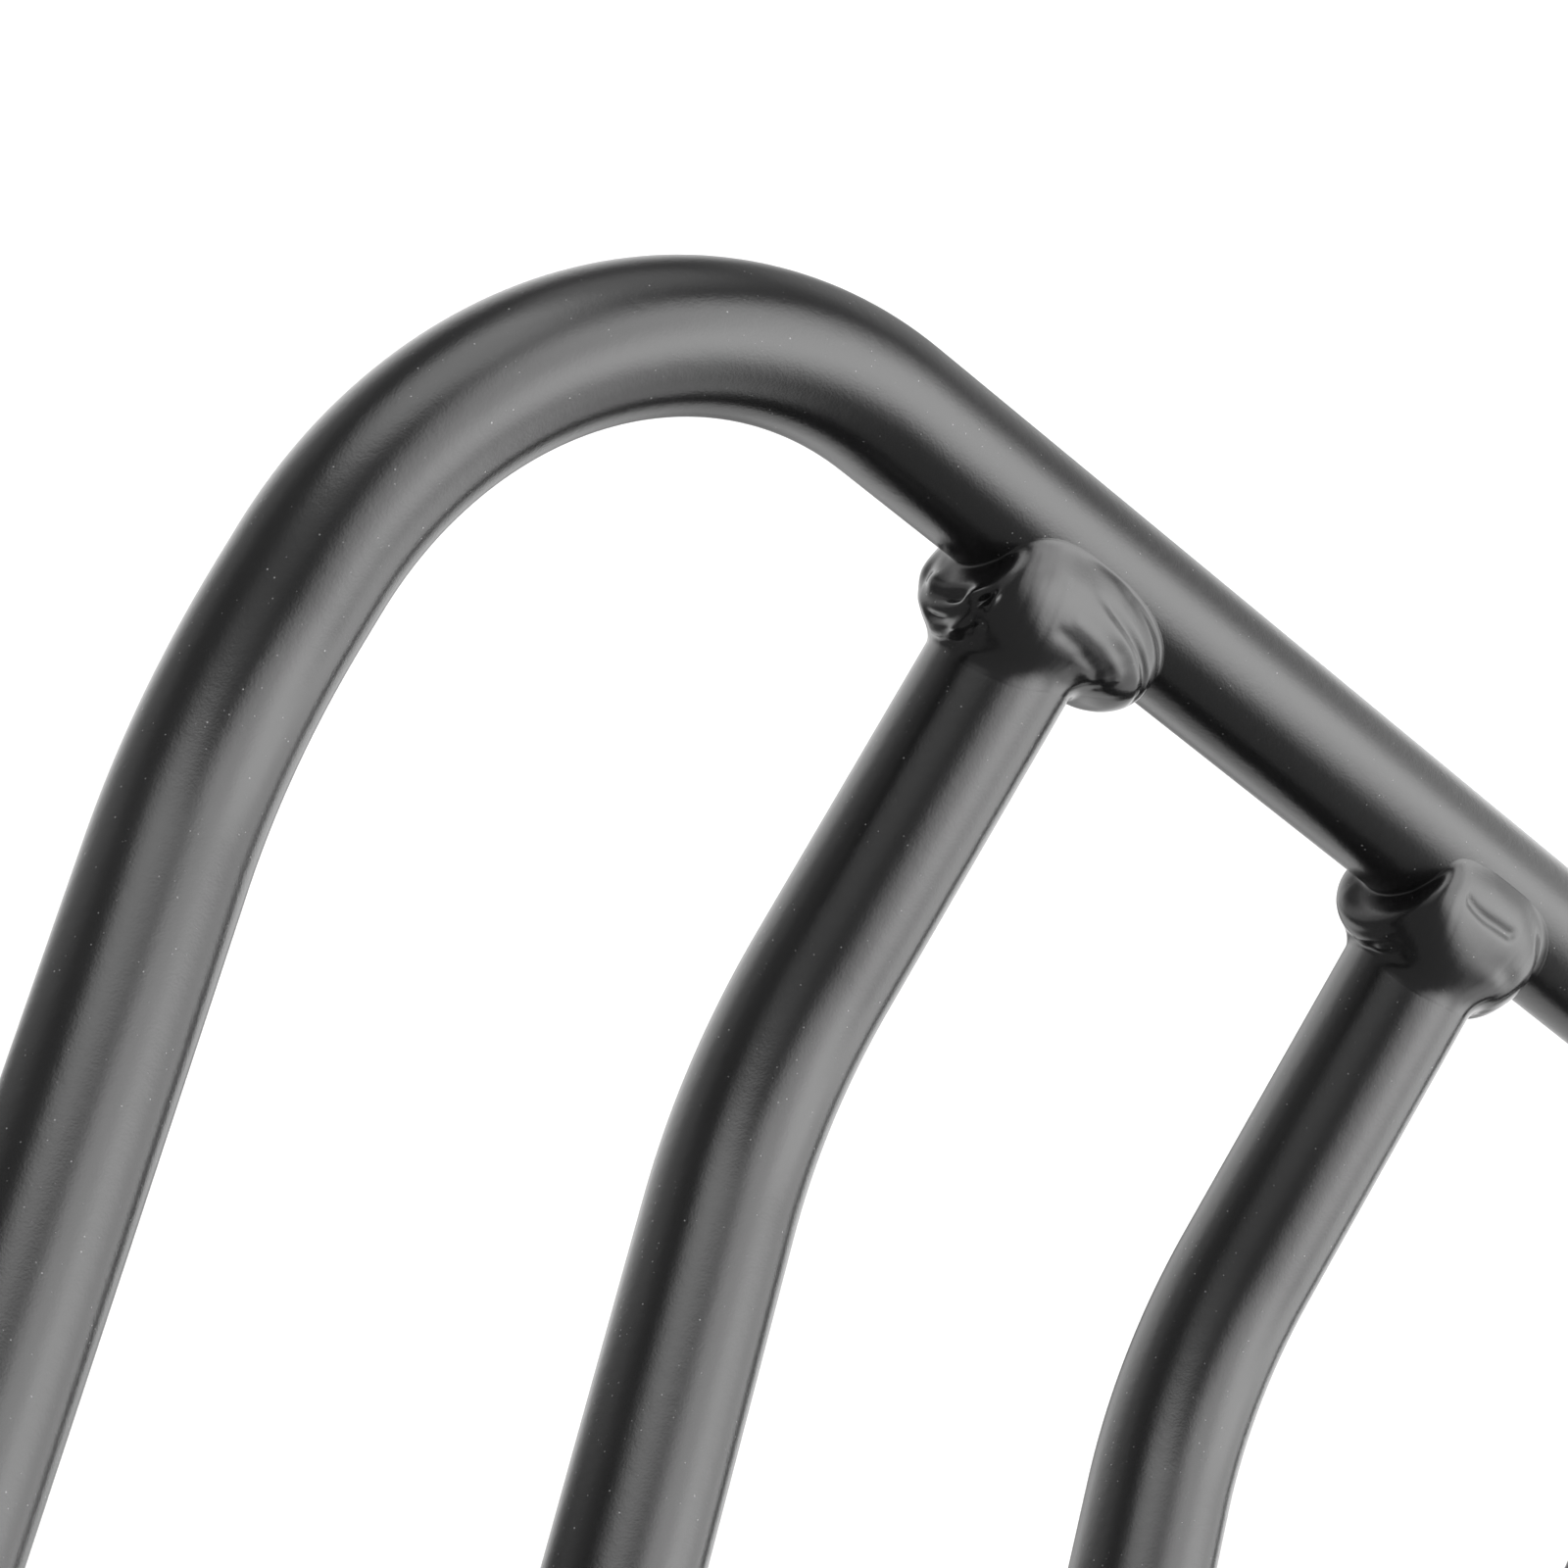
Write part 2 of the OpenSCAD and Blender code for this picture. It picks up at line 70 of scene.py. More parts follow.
BAR_NAMES = [f"platform_bar_{number}" for number in (1, 2, 3, 4)]
BAR_X = [middle(name)[0] for name in BAR_NAMES]
bar_low, bar_high = span("platform_bar_4")
TUBE_R = round((bar_high[0] - bar_low[0]) / MM) / 2 * MM  # its width to the nearest millimetre, halved
loop_low, loop_high = span("platform_loop")
LEG_X = loop_high[0] - TUBE_R
RAIL_Y = loop_low[1] + TUBE_R
RAIL_Z = loop_high[2] - TUBE_R
barrel_low, barrel_high = span("hinge_barrel")
BARREL_R = (barrel_high[2] - barrel_low[2]) / 2
BARREL_HALF = barrel_high[0]
HINGE_Y, HINGE_Z = middle("hinge_barrel")[1:]
cross_low, cross_high = span("base_cross_tube")
BASE_R = (cross_high[2] - cross_low[2]) / 2
BASE_Z = (cross_high[2] + cross_low[2]) / 2
ARM_X = span("base_loop")[1][0] - BASE_R

# the sizes of the solids that no box shows
LIP = math.radians(23.7)  # how far the lip is turned up
LIP_BEND_R = 51.6 * MM  # bend radius of the kinks, on the centre line
CORNER_R = 35.8 * MM  # bend radius of the two rear corners, on the centre line
STAY_SLOPE = math.radians(45)
STAY_START = 70 * MM  # from the hinge line back to where the lower stays leave the base loop
FRONT_END = 0.4  # how far behind the hinge line the front ends stop, as a share of the barrel's radius

LIP_LEN = (RAIL_Z - HINGE_Z) / math.sin(LIP)
KINK_Y = RAIL_Y + LIP_LEN * math.cos(LIP)
KINK_HALF = LIP_BEND_R * math.tan(LIP / 2)
LIP_DIR = np.array([0, -math.cos(LIP), math.sin(LIP)])
LIP_UP = np.array([0, math.sin(LIP), math.cos(LIP)])


# ---------------------------------------------------------------- mesh helpers
def new_mesh(name, verts, faces):
    """A smooth-shaded mesh object."""
    mesh = bpy.data.meshes.new(name)
    mesh.from_pydata([tuple(map(float, v)) for v in verts], [], [tuple(f) for f in faces])
    mesh.update()
    mesh.polygons.foreach_set("use_smooth", [True] * len(mesh.polygons))
    made = bpy.data.objects.new(name, mesh)
    bpy.context.scene.collection.objects.link(made)
    return made


def arc(centre, first, second, radius, angle, steps):
    """Points on an arc about centre: it starts at centre + radius * first and turns towards second."""
    points = []
    for i in range(steps + 1):
        t = angle * i / steps
        points.append(centre + radius * (math.cos(t) * first + math.sin(t) * second))
    return points


def line(start, end, step):
    """Points about a step apart from start to end."""
    count = max(1, int(np.linalg.norm(end - start) / step))
    return [start + (end - start) * i / count for i in range(count + 1)]


def join_paths(*paths):
    """One path through several, with each shared end kept once."""
    joined = []
    for path in paths:
        for point in path:
            if not joined or np.linalg.norm(point - joined[-1]) > 1e-6:
                joined.append(point)
    return joined


def tube(name, path, radius, sides=96):
    """A round tube swept along a path, closed at both ends."""
    points = np.array(path)
    along = np.zeros_like(points)
    along[1:-1] = points[2:] - points[:-2]
    along[0] = points[1] - points[0]
    along[-1] = points[-1] - points[-2]
    along /= np.linalg.norm(along, axis=1)[:, None]
    side = X if abs(along[0][0]) < 0.9 else Z  # whichever isn't along the tube
    angles = np.linspace(0, TURN, sides, endpoint=False)
    rings = []
    for point, ahead in zip(points, along):
        side = side - ahead * side.dot(ahead)
        side = side / np.linalg.norm(side)
        other = np.cross(ahead, side)
        rings.append(point + radius * (np.cos(angles)[:, None] * side + np.sin(angles)[:, None] * other))
    verts = list(np.concatenate(rings))
    faces = []
    for i in range(len(points) - 1):
        here, there = i * sides, (i + 1) * sides
        for j in range(sides):
            k = (j + 1) % sides
            faces.append((here + j, here + k, there + k, there + j))
    for end in (0, len(points) - 1):
        centre = len(verts)
        verts.append(points[end])
        for j in range(sides):
            face = (end * sides + j, end * sides + (j + 1) % sides, centre)
            faces.append(face if end else face[::-1])
    return new_mesh(name, verts, faces)


# ---------------------------------------------------------------- the platform's bent tubes
def bar_path(x, short):
    """A leg or bar in three stretches: level, kink and lip, which ends short of the rail's centre line."""
    hinge = np.array([x, HINGE_Y, HINGE_Z])
    kink = np.array([x, KINK_Y, HINGE_Z])
    bend_start = kink + np.array([0, KINK_HALF, 0])
    bend = arc(bend_start + Z * LIP_BEND_R, -Z, -Y, LIP_BEND_R, LIP, 36)
    level = line(hinge - Y * FRONT_END * BARREL_R, bend_start, 3 * MM)
    lip = line(kink + LIP_DIR * KINK_HALF, kink + LIP_DIR * (LIP_LEN - short), 2 * MM)
    return level, bend, lip


def loop_path():
    """The outer loop: right leg, corner, rail, corner and left leg."""
    right_leg = bar_path(LEG_X, CORNER_R)
    left_leg = bar_path(-LEG_X, CORNER_R)
    centre = np.array([LEG_X - CORNER_R, KINK_Y, HINGE_Z]) + LIP_DIR * (LIP_LEN - CORNER_R)
    right_corner = arc(centre, X, LIP_DIR, CORNER_R, math.pi / 2, 60)
    rail_end = np.array([LEG_X - CORNER_R, RAIL_Y, RAIL_Z])
    mirror = np.array([-1, 1, 1])
    rail = line(rail_end, rail_end * mirror, 3 * MM)
    left_corner = arc(centre * mirror, LIP_DIR, -X, CORNER_R, math.pi / 2, 60)
    back = [list(reversed(stretch)) for stretch in reversed(left_leg)]
    return join_paths(*right_leg, right_corner, rail, left_corner, *back)


loop = tube("platform_loop_skin", loop_path(), TUBE_R)
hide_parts("platform_loop")
bars = []
for name, x in zip(BAR_NAMES, BAR_X):
    bar = tube(f"{name}_skin", join_paths(*bar_path(x, TUBE_R / 3)), TUBE_R)
    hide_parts(name)
    bars.append(bar)


# ---------------------------------------------------------------- how a weld bead is laid
SECTION_POINTS = 7  # control points across a fillet's section
SECTION_DEGREE = 3
TABLE_SMOOTHING = (-14, -7, 0, 7, 14)  # degrees over which a table's value is averaged
FILLET_PITCH = 1.55  # millimetres from ripple to ripple along a fillet
STRING_PITCH = 1.6 * MM
STRING_SIDES = 22
SKEW_PITCH = 1.6 * MM
EDGE_UNEVENNESS = 0.08  # how much a fillet's spread and climb vary, as a share
SWELL_UNEVENNESS = 0.12
SKEW_UNEVENNESS = 0.12
FINE_LUMP = 0.012  # millimetres


class Lumps:
    """Smooth repeatable unevenness: a sum of a few waves, periodic in the first argument."""

    def __init__(self, seed, terms, fastest):
        rng = np.random.default_rng(seed)
        self.turns = rng.integers(1, fastest, terms)
        self.slants = rng.uniform(-5, 5, terms)
        self.phases = rng.uniform(0, TURN, terms)
        self.heights = rng.normal(0, 1, terms) / np.sqrt(self.turns)
        self.heights /= np.abs(self.heights).sum() * 0.55

    def __call__(self, angle, level):
        total = 0
        for turns, slant, phase, height in zip(self.turns, self.slants, self.phases, self.heights):
            total = total + height * np.sin(turns * angle + slant * level + phase)
        return total


def ease(t):
    """0 below 0, 1 above 1 and a smooth step between."""
    t = np.clip(t, 0, 1)
    return t * t * (3 - 2 * t)


def around(table, angle):
    """A value that changes smoothly round a bead, from (angle in degrees, value) pairs."""
    if not hasattr(table, "__len__"):
        table = ((0, table),)
    at = [degrees for degrees, _ in table]
    values = [value for _, value in table]
    degrees = np.degrees(angle)
    nearby = [np.interp(degrees + off, at, values, period=360) for off in TABLE_SMOOTHING]
    return sum(nearby) / len(nearby)


def section_weights(t):
    """The weights of a clamped B-spline's control points at t, so that a section leaves both surfaces
    along them."""
    inner = np.linspace(0, 1, SECTION_POINTS - SECTION_DEGREE + 1)
    knots = np.concatenate([np.zeros(SECTION_DEGREE), inner, np.ones(SECTION_DEGREE)])
    t = np.clip(t, 0, 1 - 1e-9)
    weights = [((t >= low) & (t < high)).astype(float) for low, high in zip(knots, knots[1:])]
    for degree in range(1, SECTION_DEGREE + 1):
        raised = []
        for i in range(len(knots) - 1 - degree):
            left = knots[i + degree] - knots[i]
            right = knots[i + degree + 1] - knots[i + 1]
            weight = 0 * t
            if left > 0:
                weight = weight + (t - knots[i]) / left * weights[i]
            if right > 0:
                weight = weight + (knots[i + degree + 1] - t) / right * weights[i + 1]
            raised.append(weight)
        weights = raised
    return np.stack(weights, -1)


def grid_normals(grid):
    """The normals of a grid of points that is closed in its first direction."""
    normals = np.cross(np.roll(grid, -1, 0) - np.roll(grid, 1, 0), np.gradient(grid, axis=1))
    return normals / np.maximum(np.linalg.norm(normals, axis=2), 1e-12)[:, :, None]


def fillet_height(angle, level, ripple_count, big, fine, ripple, lump, marks):
    """How far a fillet's skin stands off its smooth form: ripples, lumps and marks, in millimetres, which
    die away at both edges."""
    ripples = angle * ripple_count + 3.2 * (2 * level - 1) ** 2 + 1.3 * big(angle, level)
    ripples = np.sin(ripples) + 0.35 * np.sin(2 * ripples + 0.6)
    strength = 0.55 + 0.45 * big(angle + 0.7, level * 0.5)
    height = ripple * ripples * strength + lump * big(angle + 2.0, level * 0.9)
    height = height + FINE_LUMP * fine(angle, level * 3)
    for mark in marks:
        height = height + mark(angle, level)
    return height * np.clip(np.sin(math.pi * level), 0, 1) ** 0.8


def tee_bead(origin, leaving, side, up, end_r, cross_r, over, climb, bulge, seed, toe=0.8, heel=0.7,
             square=2.2, top=None, reach=0.96, rise=(0.8, 1.0, 0.9), wobble=1.0, ripple=0.022, lump=0.14,
             marks=(), turns=160, rows=32):
    """A hand-laid fillet round a tube that ends on a crossing tube, as a grid of points.

    The ending tube leaves the crossing one along leaving. 0 degrees round it points towards side and
    90 degrees towards up. over, climb, bulge, toe and heel are millimetres: how far the bead spreads over
    the crossing tube, climbs up the ending one and swells between, and how long its section follows each
    of them. square is 2 for a round toe line and more for a squarer one. Each of these is one value or a
    table for around(). top is how far the toe line reaches round the crossing tube, in millimetres, or by
    default reach times a quarter turn at most. rise scales the swell at three places up the section, and
    wobble the unevenness of all measures. ripple and lump are heights in millimetres, and marks come from
    spot() and fold()."""
    angle = np.linspace(0, TURN, turns, endpoint=False)[:, None]
    level = np.linspace(0, 1, rows)[None, :]
    cos, sin = np.cos(angle), np.sin(angle)
    end, cross = end_r / MM, cross_r / MM
    # the same lumps, read at other angles, make each measure uneven in its own way
    big = Lumps(seed, 9, 5)
    fine = Lumps(seed + 50, 16, 26)
    over = around(over, angle) * (1 + EDGE_UNEVENNESS * wobble * big(angle, 0 * angle))
    climb = around(climb, angle) * (1 + EDGE_UNEVENNESS * wobble * big(angle + 1.7, 0 * angle))
    swell = around(bulge, angle) * (1 + SWELL_UNEVENNESS * wobble * big(angle + 3.1, 0 * angle))
    # the toe line lies on the crossing tube and the heel line on the ending one
    power = 2 / around(square, angle)
    toe_side = (end + over) * np.sign(cos) * np.abs(cos) ** power
    top = top or min(cross * math.pi / 2 * reach, end + over.mean())
    lean = top * np.sign(sin) * np.abs(sin) ** power / cross
    toe_line = np.stack([toe_side, cross * np.sin(lean), cross * np.cos(lean)], -1)
    toe_normal = np.stack([0 * angle, np.sin(lean), np.cos(lean)], -1)
    heel_line = np.stack([end * cos, end * sin, cross + climb], -1)
    heel_normal = np.stack([cos, sin, 0 * angle], -1)
    away = heel_normal - toe_normal * (toe_normal * heel_normal).sum(-1, keepdims=True)
    away /= np.maximum(np.linalg.norm(away, axis=2, keepdims=True), 0.25)
    outward = toe_normal + heel_normal
    outward /= np.maximum(np.linalg.norm(outward, axis=2, keepdims=True), 0.3)
    # each section runs from toe to heel and swells out between them
    ahead = np.array([0, 0, 1.0])  # the ending tube's direction in the bead's own axes
    slope = heel_line - toe_line
    swollen = outward * swell[:, :, None]
    controls = [toe_line, toe_line - away * around(toe, angle)[:, :, None],
                toe_line + slope * 0.22 + swollen * rise[0],
                toe_line + slope * 0.48 + swollen * rise[1] * 1.25,
                toe_line + slope * 0.74 + swollen * rise[2],
                heel_line - ahead * around(heel, angle)[:, :, None], heel_line]
    weights = section_weights(level[0])
    grid = sum(controls[k] * weights[None, :, k, None] for k in range(SECTION_POINTS))
    ripple_count = round(TURN * (end + 2.5) / FILLET_PITCH)
    height = fillet_height(angle, level, ripple_count, big, fine, ripple, lump, marks)
    normals = grid_normals(grid)
    if (normals * outward).sum() < 0:
        normals = -normals
    grid = grid + normals * height[:, :, None]
    # both edges run on along the metal and slip under it, so that no gap and no hard line shows
    grid = np.concatenate([toe_line + away * 1.0 - toe_normal * 0.36,
                           toe_line + away * 0.45 - toe_normal * 0.10,
                           grid,
                           heel_line + ahead * 0.5 - heel_normal * 0.07,
                           heel_line + ahead * 1.1 - heel_normal * 0.30], axis=1)
    return np.array(origin) + MM * (grid[..., 0:1] * side + grid[..., 1:2] * up + grid[..., 2:3] * leaving)


def skew_bead(origin, leaving, cross_dir, end_r, cross_r, over, climb, bulge, seed, turns=120, rows=24):
    """A plainer fillet, in metres, where a tube meets a crossing tube along cross_dir at any angle."""
    first = cross_dir - leaving * leaving.dot(cross_dir)
    first /= np.linalg.norm(first)
    second = np.cross(leaving, first)
    big = Lumps(seed, 9, 5)
    flat = leaving - cross_dir * leaving.dot(cross_dir)
    ripple_count = round(TURN * (end_r + over) / SKEW_PITCH)
    grid = []
    for angle in np.linspace(0, TURN, turns, endpoint=False):
        # where the ending tube's side at this angle runs into the crossing tube
        side = math.cos(angle) * first + math.sin(angle) * second
        side_flat = side - cross_dir * side.dot(cross_dir)
        a, b = flat.dot(flat), 2 * end_r * flat.dot(side_flat)
        c = end_r ** 2 * side_flat.dot(side_flat) - cross_r ** 2
        corner = end_r * side + (-b + math.sqrt(max(b * b - 4 * a * c, 0))) / (2 * a) * leaving
        normal = corner - cross_dir * corner.dot(cross_dir)
        normal /= np.linalg.norm(normal)
        away = side - normal * side.dot(normal)
        away /= max(np.linalg.norm(away), 0.25)
        # the toe on the crossing tube, the heel on the ending one, and a curve between them
        toe = corner + away * over * (1 + SKEW_UNEVENNESS * big(angle, 0))
        toe_normal = toe - cross_dir * toe.dot(cross_dir)
        toe_normal /= np.linalg.norm(toe_normal)
        toe = cross_dir * toe.dot(cross_dir) + toe_normal * cross_r
        heel = corner + leaving * climb * (1 + SKEW_UNEVENNESS * big(angle + 2, 0))
        outward = toe_normal + side
        outward /= max(np.linalg.norm(outward), 0.4)
        control = (toe + heel) / 2 + outward * bulge * 2
        row = [toe - toe_normal * 0.5 * MM]
        for t in np.linspace(0, 1, rows):
            point = (1 - t) ** 2 * toe + 2 * t * (1 - t) * control + t * t * heel
            ripple = 0.06 * math.sin(angle * ripple_count + 3 * (2 * t - 1) ** 2)
            height = (ripple + 0.18 * big(angle + 1, t)) * math.sin(math.pi * t)
            row.append(point + outward * height * MM)
        row.append(heel - side * 0.5 * MM)
        grid.append(row)
    return origin + np.array(grid)


def string_bead(path, normals, radius, seed, closed):
    """A bead laid along a crevice: a rippled, lumpy string of weld, as a grid of points."""
    points = np.array(path)
    if closed:
        along = np.roll(points, -1, 0) - np.roll(points, 1, 0)
    else:
        along = np.gradient(points, axis=0)
    along /= np.linalg.norm(along, axis=1)[:, None]
    up = np.array(normals)
    up = up - along * (up * along).sum(1)[:, None]
    up /= np.linalg.norm(up, axis=1)[:, None]
    side = np.cross(along, up)
    way = np.concatenate([[0], np.cumsum(np.linalg.norm(np.diff(points, axis=0), axis=1))])
    total = way[-1] + (np.linalg.norm(points[0] - points[-1]) if closed else 0)
    lumps = Lumps(seed, 10, 9)
    turn = (way / total * TURN)[:, None]
    angle = np.linspace(0, TURN, STRING_SIDES, endpoint=False)[None, :]
    ripples = turn * max(1, round(total / STRING_PITCH))
    ripples = ripples + 1.5 * np.abs(np.sin(angle)) + 1.2 * lumps(turn, angle)
    thick = radius * (1 + 0.035 * np.sin(ripples) + 0.07 * lumps(turn + 1, np.sin(angle)))
    if not closed:
        taper = np.sqrt(np.clip(np.minimum(way, total - way) / (radius * 0.9), 0.0, 1.0))
        thick = thick * (0.25 + 0.75 * taper[:, None])
    ring = np.cos(angle)[..., None] * up[:, None] + np.sin(angle)[..., None] * side[:, None]
    return points[:, None] + thick[..., None] * ring


def spot(at, level, width, spread, height):
    """A round mark on a fillet, or a pit where height is negative. at and width are degrees round it,
    level and spread are shares of its section, and height is millimetres."""
    at, width = math.radians(at), math.radians(width)

    def mark(angle, t):
        off = (angle - at + math.pi) % TURN - math.pi
        return height * np.exp(-(off / width) ** 2 - ((t - level) / spread) ** 2)
    return mark


def fold(start, end, start_level, end_level, spread, height, bow=0.0):
    """A ridge on a fillet, or a groove where height is negative, between two angles and two levels."""
    start, end = math.radians(start), math.radians(end)

    def mark(angle, t):
        share = (angle - start) / (end - start)
        level = start_level + (end_level - start_level) * share
        level = level + bow * np.sin(math.pi * np.clip(share, 0, 1))
        fade = ease(share / 0.15) * ease((1 - share) / 0.15)
        return height * fade * np.exp(-((t - level) / spread) ** 2)
    return mark


def ring_path(centre, first, second, radius, angles):
    """Points and normals at some angles round a centre, from the direction first towards second."""
    normals = [math.cos(angle) * first + math.sin(angle) * second for angle in angles]
    return [centre + normal * radius for normal in normals], normals


class BeadMesh:
    """Collects weld beads into one mesh."""

    def __init__(self):
        self.verts, self.faces = [], []

    def add_fillet(self, grid):
        """Adds a grid that is closed round a tube and open at its two edges."""
        turns, rows = grid.shape[:2]
        start = len(self.verts)
        self.verts.extend(grid.reshape(-1, 3))
        half = rows // 2
        corner, beside, above = grid[0, half], grid[1, half], grid[0, half + 1]
        outward = corner - grid[:, half].mean(0)
        flip = np.dot(np.cross(beside - corner, above - corner), outward) < 0
        for i in range(turns):
            here, there = start + i * rows, start + (i + 1) % turns * rows
            for k in range(rows - 1):
                face = (here + k, there + k, there + k + 1, here + k + 1)
                self.faces.append(face[::-1] if flip else face)

    def add_string(self, path, normals, radius, seed, closed=False):
        """Adds a string of weld along a path, closed to a ring or capped at both ends."""
        grid = string_bead(path, normals, radius, seed, closed)
        count, sides = grid.shape[:2]
        start = len(self.verts)
        self.verts.extend(grid.reshape(-1, 3))
        for i in range(count if closed else count - 1):
            here, there = start + i * sides, start + (i + 1) % count * sides
            for k in range(sides):
                m = (k + 1) % sides
                self.faces.append((here + k, there + k, there + m, here + m))
        if not closed:
            last = start + (count - 1) * sides
            self.faces.append(tuple(start + k for k in range(sides)))
            self.faces.append(tuple(last + k for k in reversed(range(sides))))

    def build(self, name):
        return new_mesh(name, self.verts, self.faces)


# ---------------------------------------------------------------- the platform's weld beads
# the two rail welds nearest the right-hand corner are the ones seen closest
NEAR_WELDS = {
    "platform_bar_4": dict(
        over=((0, 2.1), (60, 3.0), (120, 6.0), (180, 6.2), (240, 5.0), (300, 2.4)),
        climb=((0, 6.6), (40, 7.2), (75, 6.8), (100, 5.2), (130, 4.4), (180, 4.2), (270, 4.5), (330, 6.2)),
        bulge=((0, 1.35), (45, 1.2), (90, 1.1), (135, 1.4), (180, 1.0), (230, 0.9), (300, 1.1)),
        toe=((0, 0.3), (90, 1.0), (180, 0.5), (270, 0.8)),
        heel=((0, 0.6), (45, 1.6), (90, 1.8), (140, 1.0), (180, 0.4), (270, 0.6)),
        square=((0, 3.0), (20, 4.2), (45, 3.4), (90, 2.6), (140, 2.5), (180, 2.6)),
        top=9.0, rise=(1.15, 1.0, 0.8), wobble=0.5, ripple=0.006, lump=0.09, seed=11, turns=400, rows=80,
        marks=(
            # the folds that run from its upper side round to the far one
            fold(86, 165, 0.24, 0.36, 0.045, -0.26, 0.05),
            fold(80, 176, 0.08, 0.18, 0.07, 0.24, 0.03),
            fold(74, 122, 0.56, 0.74, 0.050, -0.10),
            fold(80, 132, 0.46, 0.62, 0.050, 0.09),
            fold(90, 138, 0.66, 0.80, 0.040, -0.08),
            spot(112, 0.48, 9, 0.07, -0.09),
            spot(150, 0.55, 22, 0.20, 0.16),
            # a row of pits and blobs towards the corner, nearer the rail
            spot(-24, 0.34, 6, 0.14, 0.14),
            spot(-14, 0.28, 5, 0.10, -0.22),
            spot(-4, 0.26, 4.5, 0.07, 0.50),
            spot(4, 0.34, 4.5, 0.06, -0.75),
            spot(13, 0.38, 4.5, 0.07, 0.70),
            spot(21, 0.44, 4, 0.05, -0.62),
            spot(28, 0.47, 3, 0.06, 0.40),
            # a second row, nearer the bar
            spot(-12, 0.52, 7, 0.10, 0.18),
            spot(0, 0.60, 5, 0.07, -0.42),
            spot(12, 0.68, 5, 0.08, 0.60),
            spot(23, 0.72, 5, 0.06, -0.40),
            # two more at the edge on the bar
            spot(-4, 0.80, 6, 0.06, 0.22),
            spot(14, 0.88, 6, 0.05, -0.30))),
    "platform_bar_3": dict(
        over=((0, 1.9), (90, 3.0), (180, 3.8), (270, 3.0)),
        climb=((0, 4.8), (50, 6.2), (90, 5.8), (130, 5.2), (165, 6.6), (200, 6.4), (270, 4.4)),
        bulge=((0, 1.4), (90, 1.2), (130, 1.0), (160, 0.3), (200, 0.2), (270, 0.9), (320, 1.1)),
        toe=((0, 0.4), (90, 0.9), (170, 1.6), (270, 0.9)),
        heel=((0, 0.6), (70, 1.6), (130, 1.2), (170, 2.4), (210, 2.0), (290, 0.8)),
        square=((0, 3.0), (20, 5.0), (50, 5.0), (90, 3.0), (140, 2.5), (180, 2.4)),
        top=9.6, rise=(1.1, 1.0, 0.8), wobble=0.5, ripple=0.005, lump=0.08, seed=24, turns=320, rows=64,
        marks=(
            # one short groove on its upper side, between three slight swellings and a dip
            fold(62, 98, 0.27, 0.33, 0.040, -0.30, 0.05),
            spot(84, 0.18, 20, 0.08, 0.12),
            spot(112, 0.58, 14, 0.08, -0.10),
            spot(100, 0.68, 12, 0.08, 0.10),
            # two blobs and a dip towards the corner
            spot(-10, 0.35, 10, 0.18, 0.24),
            spot(14, 0.84, 7, 0.06, 0.22),
            spot(2, 0.58, 8, 0.10, -0.14))),
}
LUG_BEAD_R = 1.5 * MM
LUG_BEAD_OUT = 0.6 * MM  # from the lug's face out to the middle of the bead
LUG_BEAD_ANGLE = 0.58  # radians to each side of the lug's middle
FRONT_OVER = 2.9  # millimetres that a bead spreads along the barrel
FRONT_GAP = 0.5  # millimetres from the outer two beads to the barrel's ends


def plain_weld(i):
    """The other rail welds, each a little different."""
    return dict(over=((0, 3.0), (180, 3.2 + 0.6 * (i % 2))),
                climb=((0, 4.4), (90, 5.6), (180, 4.4), (270, 4.2)),
                bulge=((0, 1.5), (90, 1.2), (180, 1.3)), toe=0.9, heel=((0, 0.6), (90, 1.6), (180, 0.7)),
                top=9.3, seed=40 + i)


def front_weld(i, x):
    """The welds at the barrel. The outer two stop just before its ends."""
    to_end = (BARREL_HALF - LEG_X - TUBE_R) / MM - FRONT_GAP
    right = to_end if x == LEG_X else FRONT_OVER
    left = to_end if x == -LEG_X else FRONT_OVER
    return dict(over=((0, right), (180, left)), climb=4.3, bulge=1.2, seed=60 + i, turns=120, rows=26)


def lug_beads(beads, node, seed):
    """One string of weld along each side of a stop lug's foot."""
    low, high = span(node)
    centre = (low + high) / 2
    outward = np.array([0, centre[1] - HINGE_Y, centre[2] - HINGE_Z])
    outward /= np.linalg.norm(outward)
    angles = np.linspace(-LUG_BEAD_ANGLE, LUG_BEAD_ANGLE, 30)
    for i, x in enumerate((low[0] - LUG_BEAD_OUT, high[0] + LUG_BEAD_OUT)):
        foot = np.array([x, HINGE_Y, HINGE_Z])
        path, normals = ring_path(foot, outward, np.cross(X, outward), BARREL_R, angles)
        beads.add_string(path, normals, LUG_BEAD_R, seed + i)


def platform_weld_beads():
    beads = BeadMesh()
    for i, (name, x) in enumerate(zip(BAR_NAMES, BAR_X)):
        weld = NEAR_WELDS.get(name) or plain_weld(i)
        beads.add_fillet(tee_bead((x, RAIL_Y, RAIL_Z), -LIP_DIR, X, LIP_UP, TUBE_R, TUBE_R, **weld))
    for i, x in enumerate([-LEG_X] + BAR_X + [LEG_X]):
        beads.add_fillet(tee_bead((x, HINGE_Y, HINGE_Z), -Y, X, Z, TUBE_R, BARREL_R, **front_weld(i, x)))
    lug_beads(beads, "stop_lug_left", 80)
    lug_beads(beads, "stop_lug_right", 82)
    return beads.build("platform_weld_beads")


